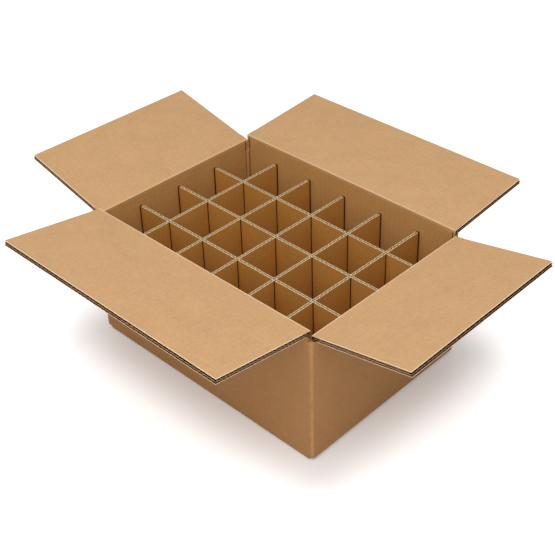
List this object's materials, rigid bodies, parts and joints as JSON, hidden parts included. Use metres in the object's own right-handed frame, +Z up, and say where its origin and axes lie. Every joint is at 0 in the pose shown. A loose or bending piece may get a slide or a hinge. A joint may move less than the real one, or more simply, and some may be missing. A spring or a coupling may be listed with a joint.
{
  "type": "bottle shipping box",
  "caption": "Open corrugated carton with four hinged top flaps folded out and interlocking dividers that make upright cells for bottles.",
  "frame": {"origin": "centre of the base, on the ground", "axes": "+X along the long side, +Y across from the front long wall to the back one, +Z up"},
  "size_m": [0.6975, 0.5883, 0.235],
  "materials": {
    "carton_board": "matt kraft",
    "divider_board": "matt kraft"
  },
  "bodies": {
    "carton": {"carton_body": "carton_board", "long_divider_1": "divider_board", "long_divider_2": "divider_board", "long_divider_3": "divider_board", "short_divider_1": "divider_board", "short_divider_2": "divider_board", "short_divider_3": "divider_board", "short_divider_4": "divider_board", "short_divider_5": "divider_board"},
    "front_flap": {"front_flap": "carton_board"},
    "back_flap": {"back_flap": "carton_board"},
    "left_flap": {"left_flap": "carton_board"},
    "right_flap": {"right_flap": "carton_board"}
  },
  "joints": [
    {"name": "front_flap_fold", "type": "hinge", "parent": "carton", "child": "front_flap", "pos_m": [0, -0.14912, 0.2014], "axis": [-1, 0, 0], "range_deg": [-93.5, 171.5]},
    {"name": "back_flap_fold", "type": "hinge", "parent": "carton", "child": "back_flap", "pos_m": [0, 0.14912, 0.2014], "axis": [1, 0, 0], "range_deg": [-90, 175]},
    {"name": "left_flap_fold", "type": "hinge", "parent": "carton", "child": "left_flap", "pos_m": [-0.20612, 0, 0.194], "axis": [0, 1, 0], "range_deg": [-98.5, 166.5]},
    {"name": "right_flap_fold", "type": "hinge", "parent": "carton", "child": "right_flap", "pos_m": [0.20612, 0, 0.194], "axis": [0, -1, 0], "range_deg": [-96.5, 168.5]}
  ]
}
